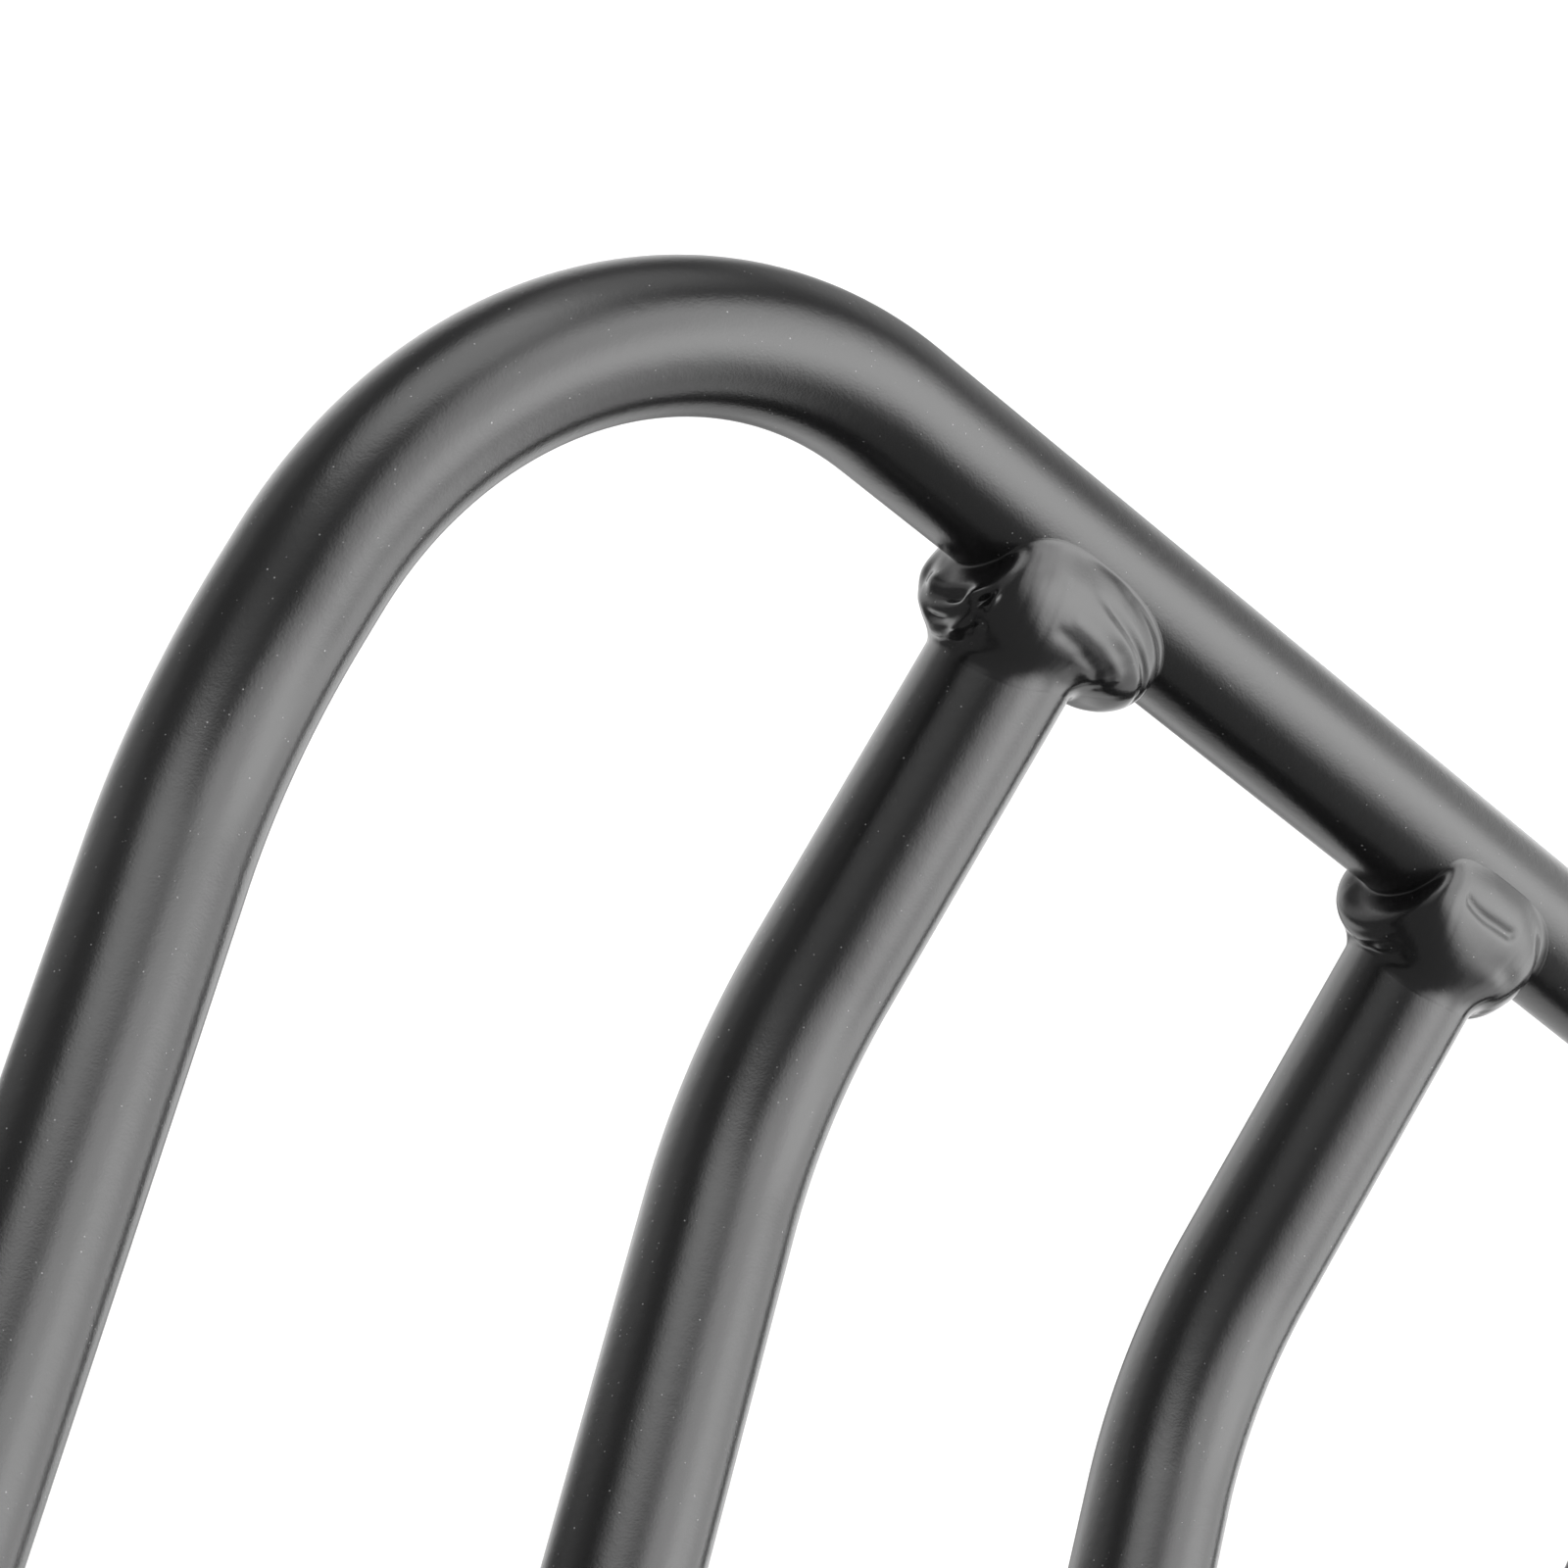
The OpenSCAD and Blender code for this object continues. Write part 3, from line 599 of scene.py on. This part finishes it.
# ---------------------------------------------------------------- the base's weld beads
stay_low, stay_high = span("lower_stay_right")
STAY_R = (stay_high[0] - stay_low[0]) / 2
mount_tab_low, mount_tab_high = span("mount_tab_right")
ARM_END = span("mount_arm_right")[1][1]
lower_tab_low, lower_tab_high = span("lower_tab_right")
EAR_INSIDE = span("hinge_ear_right")[0][0]
EAR_BEAD_R = 1.42 * MM
EAR_BEAD_IN = 0.45 * MM  # from the ear's inner face to the middle of the bead
EAR_BEAD_OUT = 0.15 * MM  # from the cross tube's surface to the middle of the bead
TAB_BEAD_R = 2.1 * MM
TAB_BEAD_X = BASE_R * 0.66 + 0.5 * MM  # from an arm's centre line to each bead along it
LOWER_BEAD_R = 1.8 * MM
LOWER_BEAD_X = STAY_R * 0.72 + 0.4 * MM  # from a stay's centre line to each bead along it
BEAD_LIFT = 0.5 * MM  # from a tab's face to the middle of the bead
END_GAP = 1.2 * MM  # how far the straight beads stop from the ends


def arm_bead(beads, x, leaving, seed):
    """The fillet where an arm or the base loop meets the cross tube."""
    beads.add_fillet(tee_bead((x, HINGE_Y, BASE_Z), leaving, X, Z, BASE_R, BASE_R, over=3.05, climb=4.3,
                              bulge=1.3, seed=seed, reach=0.97, turns=130, rows=26))


def stay_bead(beads, x, seed):
    """The fillet where a lower stay leaves the base loop."""
    slope = np.array([0, math.cos(STAY_SLOPE), -math.sin(STAY_SLOPE)])
    top = np.array([x, HINGE_Y - STAY_START, BASE_Z])
    beads.add_fillet(skew_bead(top, slope, Y, STAY_R, BASE_R, 2.6 * MM, 3.6 * MM, 0.8 * MM, seed))


def ear_bead(beads, x, seed):
    """The ring where the cross tube meets a hinge ear."""
    angles = np.linspace(0, TURN, 140, endpoint=False)
    path, normals = ring_path(np.array([x, HINGE_Y, BASE_Z]), Y, Z, BASE_R + EAR_BEAD_OUT, angles)
    beads.add_string(path, normals, EAR_BEAD_R, seed, closed=True)


def mount_tab_bead(beads, x, side, seed):
    """The straight bead along one side of an arm, on its mounting tab."""
    at = np.array([x + side * TAB_BEAD_X, 0, mount_tab_high[2] + BEAD_LIFT])
    path = np.linspace(at + Y * (mount_tab_low[1] + END_GAP), at + Y * (ARM_END - END_GAP), 90)
    beads.add_string(path, [side * X + Z] * len(path), TAB_BEAD_R, seed)


def lower_tab_bead(beads, x, side, seed):
    """The straight bead along one side of a stay, on its lower tab."""
    at = np.array([x + side * LOWER_BEAD_X, lower_tab_low[1] - BEAD_LIFT, 0])
    path = np.linspace(at + Z * (stay_low[2] + END_GAP), at + Z * (lower_tab_high[2] - END_GAP), 60)
    beads.add_string(path, [side * X - Y] * len(path), LOWER_BEAD_R, seed)


def base_weld_beads():
    beads = BeadMesh()
    for i, side in enumerate((-1, 1)):
        x = side * ARM_X
        arm_bead(beads, x, -Y, 90 + i)
        arm_bead(beads, x, Y, 94 + i)
        stay_bead(beads, x, 98 + i)
        ear_bead(beads, side * (EAR_INSIDE - EAR_BEAD_IN), 102 + i)
        for j, bead_side in enumerate((-1, 1)):
            mount_tab_bead(beads, x, bead_side, 106 + 4 * i + j)
            lower_tab_bead(beads, x, bead_side, 114 + 4 * i + j)
    return beads.build("base_weld_beads")


welds = [platform_weld_beads(), base_weld_beads()]
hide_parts("platform_welds")
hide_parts("base_welds")


# ---------------------------------------------------------------- node helpers
def add_node(tree, kind, values=None, **settings):
    """Adds a shader node. values sets its inputs by name or number, each to a value or to an output
    that is linked to it, and settings are the node's own."""
    made = tree.nodes.new("ShaderNode" + kind)
    for name, value in settings.items():
        setattr(made, name, value)
    for key, value in (values or {}).items():
        if isinstance(value, bpy.types.NodeSocket):
            tree.links.new(value, made.inputs[key])
        else:
            made.inputs[key].default_value = value
    return made


def material(name):
    """A new material, its node tree and its shader."""
    made = bpy.data.materials.new(name)
    made.use_nodes = True
    return made, made.node_tree, made.node_tree.nodes["Principled BSDF"]


def noise(tree, scale, detail):
    """Noise over the object's own coordinates."""
    place = add_node(tree, "TexCoord").outputs["Object"]
    return add_node(tree, "TexNoise", {"Vector": place, "Scale": scale, "Detail": detail}).outputs["Fac"]


def maths(tree, operation, *values):
    """A sum, product or other result of values and outputs."""
    return add_node(tree, "Math", dict(enumerate(values)), operation=operation).outputs[0]


def fit_range(tree, value, low, high):
    """Turns 0 to 1 into low to high."""
    return add_node(tree, "MapRange", {"Value": value, "To Min": low, "To Max": high}).outputs["Result"]


def shades(tree, value, dark, light):
    """Turns 0.3 to 0.7, where most of a noise lies, into a dark to a light shade."""
    made = add_node(tree, "ValToRGB", {"Fac": value})
    for element, position, colour in zip(made.color_ramp.elements, (0.3, 0.7), (dark, light)):
        element.position = position
        element.color = (*colour, 1)
    return made.outputs["Color"]


def times(colour, factor):
    return [channel * factor for channel in colour]


def relief(tree, bsdf, height, strength, distance):
    """Gives a shader a fine relief from a height."""
    bump = add_node(tree, "Bump", {"Height": height, "Strength": strength, "Distance": distance})
    tree.links.new(bump.outputs["Normal"], bsdf.inputs["Normal"])


# ---------------------------------------------------------------- materials
PLAIN_WHITE = (1, 1, 1, 1)
COAT_GRAIN, COAT_PEEL, COAT_CLOUD = (5200.0, 2.0), (900.0, 2.0), (60.0, 3.0)  # noise scales and details
PEEL_SHARE = 1.3  # how much higher the orange peel stands than the grain
DUST_SCALE = 2000.0  # cells per metre, so that a cell is half a millimetre
DUST_DOT = (0.07, 0.16)  # a dot's full and faded-out radius, as a share of a cell
DUST_SHARE = 0.7  # the share of cells that hold a dot where dust is 1
DUST_FAINTNESS = 3.5  # the higher, the fewer of the dots are bright
DUST_COLOUR = (0.38, 0.38, 0.38, 1)
COAT_IOR = 1.8
CRISP_ANGLE = 35  # degrees between two faces above which the edge between them stays crisp


def black_coat(name, base, rough, grain=0.055, dust=0.5):
    """Satin black powder coat: a fine orange-peel grain and sparse pale dust specks."""
    made, tree, bsdf = material(name)
    cloud = noise(tree, *COAT_CLOUD)
    peel = maths(tree, "MULTIPLY_ADD", noise(tree, *COAT_PEEL), PEEL_SHARE, noise(tree, *COAT_GRAIN))
    relief(tree, bsdf, peel, grain, 0.3 * MM)
    tree.links.new(fit_range(tree, cloud, rough - 0.03, rough + 0.04), bsdf.inputs["Roughness"])
    # dust: tiny dots in some cells of a fine Voronoi, most of them faint
    place = add_node(tree, "TexCoord").outputs["Object"]
    cells = add_node(tree, "TexVoronoi", {"Vector": place, "Scale": DUST_SCALE})
    near = add_node(tree, "MapRange", {"Value": cells.outputs["Distance"], "From Min": DUST_DOT[0],
                                       "From Max": DUST_DOT[1], "To Min": 1.0, "To Max": 0.0})
    chance = add_node(tree, "SeparateColor", {"Color": cells.outputs["Color"]})
    few = maths(tree, "GREATER_THAN", chance.outputs[0], 1 - DUST_SHARE * dust)
    faint = maths(tree, "POWER", chance.outputs[1], DUST_FAINTNESS)
    dot = maths(tree, "MULTIPLY", near.outputs["Result"], maths(tree, "MULTIPLY", few, faint))
    tint = shades(tree, cloud, times(base, 0.85), times(base, 1.2))
    colour = add_node(tree, "Mix", {0: dot, 6: tint, 7: DUST_COLOUR}, data_type="RGBA")
    tree.links.new(colour.outputs[2], bsdf.inputs["Base Color"])
    bsdf.inputs["IOR"].default_value = COAT_IOR
    return made


def zinc_plate():
    """Bright zinc on the fasteners, with a fine uneven grain."""
    made, tree, bsdf = material("zinc_plate")
    fine, broad = noise(tree, 900.0, 4.0), noise(tree, 120.0, 3.0)
    colour = shades(tree, broad, (0.50, 0.50, 0.51), (0.66, 0.66, 0.67))
    tree.links.new(colour, bsdf.inputs["Base Color"])
    tree.links.new(fit_range(tree, fine, 0.24, 0.42), bsdf.inputs["Roughness"])
    relief(tree, bsdf, fine, 0.08, 0.2 * MM)
    bsdf.inputs["Metallic"].default_value = 1.0
    return made


def dull_plastic(name, base, rough, scale, strength):
    """Moulded rubber or plastic: a fine grain over broader patches of shade and gloss."""
    made, tree, bsdf = material(name)
    fine, broad = noise(tree, scale, 4.0), noise(tree, scale / 14, 3.0)
    tree.links.new(shades(tree, broad, times(base, 0.8), times(base, 1.3)), bsdf.inputs["Base Color"])
    tree.links.new(fit_range(tree, broad, rough - 0.06, rough + 0.06), bsdf.inputs["Roughness"])
    relief(tree, bsdf, fine, strength, 0.3 * MM)
    return made


def dress(piece, finish):
    """Gives a piece one material."""
    piece.data.materials.clear()
    piece.data.materials.append(finish)


def soften(piece):
    """Smooth shading, with the edges kept crisp."""
    mesh = piece.data
    mesh.polygons.foreach_set("use_smooth", [True] * len(mesh.polygons))
    mesh.set_sharp_from_angle(angle=math.radians(CRISP_ANGLE))


COAT = black_coat("black_coat", (0.0080, 0.0080, 0.0082), 0.22)
BEAD = black_coat("bead_coat", (0.0080, 0.0080, 0.0083), 0.18, grain=0.03, dust=0.35)
SLOTS = {
    "black_paint": COAT,
    "weld_paint": BEAD,
    "zinc": zinc_plate(),
    "rubber": dull_plastic("buffer_rubber", (0.022, 0.022, 0.022), 0.72, 1800.0, 0.25),
    "plug_plastic": dull_plastic("plug_plastic", (0.030, 0.030, 0.031), 0.5, 2400.0, 0.12),
    "nylon": dull_plastic("bush_nylon", (0.035, 0.035, 0.036), 0.42, 1500.0, 0.06),
}
node_slot = {part["node"]: part["material_slot"] for part in frame["record"]["subparts"]}
for name, solid in frame["nodes"].items():
    dress(solid, SLOTS[node_slot[name]])
    soften(solid)

# ---------------------------------------------------------------- pieces on their bodies
for piece in [loop] + bars:
    dress(piece, COAT)
    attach(piece, "platform")

for piece, body in zip(welds, ("platform", "base")):
    dress(piece, BEAD)
    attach(piece, body)


# ---------------------------------------------------------------- camera
def direction(azimuth, elevation):
    """A unit vector, with azimuth 0 along +X and 90 along +Y."""
    azimuth, elevation = math.radians(azimuth), math.radians(elevation)
    level = math.cos(elevation)
    return np.array([level * math.cos(azimuth), level * math.sin(azimuth), math.sin(elevation)])


KINK = np.array([LEG_X, KINK_Y, HINGE_Z])  # the right-hand leg's kink
CAMERA_OFFSET = np.array([164.70, 144.90, 259.82]) * MM  # from there to the camera
CAMERA_AZIMUTH, CAMERA_ELEVATION, CAMERA_ROLL = 218.034, -43.319, -77.140  # degrees
LENS = 109.3  # millimetres
SENSOR = 36  # millimetres
NEAREST, FARTHEST = 0.01, 50  # metres that the camera sees between

forward = direction(CAMERA_AZIMUTH, CAMERA_ELEVATION)
unrolled = direction(CAMERA_AZIMUTH, CAMERA_ELEVATION + 90)
roll = math.radians(CAMERA_ROLL)
upward = math.cos(roll) * unrolled + math.sin(roll) * np.cross(forward, unrolled)
turned = Matrix((np.cross(forward, upward), upward, -forward)).transposed().to_4x4()
camera_data = bpy.data.cameras.new("camera")
camera_data.sensor_width = SENSOR
camera_data.sensor_fit = "HORIZONTAL"
camera_data.lens = LENS
camera_data.clip_start = NEAREST
camera_data.clip_end = FARTHEST
camera = bpy.data.objects.new("camera", camera_data)
bpy.context.scene.collection.objects.link(camera)
camera.matrix_world = Matrix.Translation(Vector(KINK + CAMERA_OFFSET)) @ turned
bpy.context.scene.camera = camera

# ---------------------------------------------------------------- light
# one soft surround, which lights the rack from the world and, as a painted glow on the floor that only the
# coat's
# reflections see, from below: a plain level plus broad softboxes, each an azimuth, elevation, half angle
# and strength
PLAIN_LEVEL = 0.18
SOFTBOXES = [
    (195, 74, 46, 2.2),   # the big light overhead
    (172, 50, 37, 1.3),   # its bright side, to the left of the rack
    (235, 50, 24, 0.7),   # its rear edge
    (198, 18, 36, 1.6),   # a white wall on the left
    (165, 10, 30, 0.9),   # its near end
    (238, -2, 30, 0.4),   # its far end
    (208, -16, 32, 1.3),  # its foot
    (320, 28, 32, 1.6),   # a second light at the rear right
    (300, 60, 26, 0.7),   # the gap between the two lights
    (288, 18, 28, 0.6),   # the wall behind the second light
    (352, 30, 30, 0.3),   # what spills round the second light
    (165, -30, 30, 0.7),  # the lit table on the left
    (272, -50, 40, 1.3),  # the table at the rear
    (322, -38, 28, 0.3),  # the table at the rear right
    (165, -68, 34, 1.0),  # almost under the rack
]
ABOVE = [box for box in SOFTBOXES if box[1] > -box[2]]  # those that reach above the horizon
BELOW = [box for box in SOFTBOXES if box[1] < box[2]]  # those that reach below it, painted on the floor as a glow for glossy rays


def surround(tree, towards, boxes):
    """Adds up the softboxes seen along a direction and returns the output with the sum."""
    total = PLAIN_LEVEL
    for azimuth, elevation, half_angle, strength in boxes:
        towards_box = add_node(tree, "VectorMath", {0: towards, 1: direction(azimuth, elevation)},
                               operation="DOT_PRODUCT")
        share = add_node(tree, "MapRange", {
            "Value": towards_box.outputs["Value"], "From Min": math.cos(math.radians(half_angle)),
            "From Max": 1.0, "To Min": 0.0, "To Max": strength}, interpolation_type="SMOOTHSTEP")
        total = maths(tree, "ADD", share.outputs["Result"], total)
    return total


# ---------------------------------------------------------------- floor
FLOOR_SIZE = 12  # metres
FLOOR_GAP = 1 * MM  # from the floor up to the lowest point
FLOOR_OWN_LIGHT = 0.14  # for the camera only, which keeps the open floor white
MIRROR_CENTRE = KINK - X * 60 * MM  # about the middle of what the camera sees, round which the floor's painted glow is laid out


def floor_paper_and_painted_glow():
    """White paper to the camera and to diffuse rays. Glossy rays see a painted reflection instead: a glow
    of the surround's lower softboxes, laid out round one point, bright behind the rack and dim before it."""
    made, tree, paper = material("floor_white_and_painted_glow")
    colour = shades(tree, noise(tree, 3.0, 2.0), (0.79, 0.79, 0.79), (0.82, 0.82, 0.82))
    tree.links.new(colour, paper.inputs["Base Color"])
    paper.inputs["Roughness"].default_value = 0.95
    paper.inputs["Specular IOR Level"].default_value = 0.2
    paper.inputs["Emission Color"].default_value = PLAIN_WHITE
    rays = add_node(tree, "LightPath").outputs
    own_light = maths(tree, "MULTIPLY", rays["Is Camera Ray"], FLOOR_OWN_LIGHT)
    tree.links.new(own_light, paper.inputs["Emission Strength"])
    position = add_node(tree, "NewGeometry").outputs["Position"]
    offset = add_node(tree, "VectorMath", {0: position, 1: MIRROR_CENTRE}, operation="SUBTRACT")
    towards = add_node(tree, "VectorMath", {0: offset.outputs[0]}, operation="NORMALIZE").outputs[0]
    # painted reflection: glossy rays see this glow of the lower softboxes in place of the paper
    glow = add_node(tree, "Emission", {"Color": PLAIN_WHITE, "Strength": surround(tree, towards, BELOW)})
    both = add_node(tree, "MixShader", {0: rays["Is Glossy Ray"], 1: paper.outputs[0], 2: glow.outputs[0]})
    tree.links.new(both.outputs[0], tree.nodes["Material Output"].inputs["Surface"])
    return made


lowest = min(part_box(name)[0][2] for name in frame["nodes"])
bpy.ops.mesh.primitive_plane_add(size=FLOOR_SIZE, location=(0, 0, lowest - FLOOR_GAP))
floor = bpy.context.object
floor.name = "floor"
dress(floor, floor_paper_and_painted_glow())


# ---------------------------------------------------------------- world
def set_world():
    """The surround lights the rack, and the camera sees plain white instead."""
    world = bpy.context.scene.world or bpy.data.worlds.new("world")
    bpy.context.scene.world = world
    world.use_nodes = True
    tree = world.node_tree
    tree.nodes.clear()
    towards = add_node(tree, "TexCoord").outputs["Generated"]
    lit = add_node(tree, "Background", {"Color": PLAIN_WHITE, "Strength": surround(tree, towards, ABOVE)})
    seen = add_node(tree, "Background", {"Color": PLAIN_WHITE, "Strength": 1.0})
    camera_ray = add_node(tree, "LightPath").outputs["Is Camera Ray"]
    both = add_node(tree, "MixShader", {0: camera_ray, 1: lit.outputs[0], 2: seen.outputs[0]})
    add_node(tree, "OutputWorld", {"Surface": both.outputs[0]})


set_world()
bpy.context.scene.view_settings.view_transform = "Standard"
